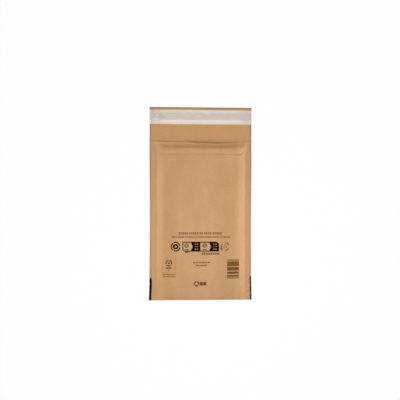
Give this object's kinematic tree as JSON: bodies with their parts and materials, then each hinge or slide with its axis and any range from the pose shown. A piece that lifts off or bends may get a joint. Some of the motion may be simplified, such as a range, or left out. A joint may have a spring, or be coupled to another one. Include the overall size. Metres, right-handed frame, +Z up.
{
  "type": "padded envelope",
  "caption": "Flat kraft paper mailing envelope lined with bubble film, with an open flap that carries an adhesive band under a peel-off liner.",
  "frame": {"origin": "on the surface that the envelope lies on, under the middle of its outline", "axes": "+Y along the envelope from the bottom fold to the flap, +X across it, +Z up through the pad"},
  "size_m": [0.14, 0.265, 0.0131],
  "materials": {
    "kraft": "matte kraft paper",
    "film": "clear bubble film",
    "adhesive": "clear hot-melt adhesive over kraft",
    "liner": "thin milky silicone-coated release film"
  },
  "bodies": {
    "root": {"kraft_outer": "kraft", "bubble_lining": "film", "adhesive_strip": "adhesive", "release_liner": "liner"}
  },
  "joints": []
}
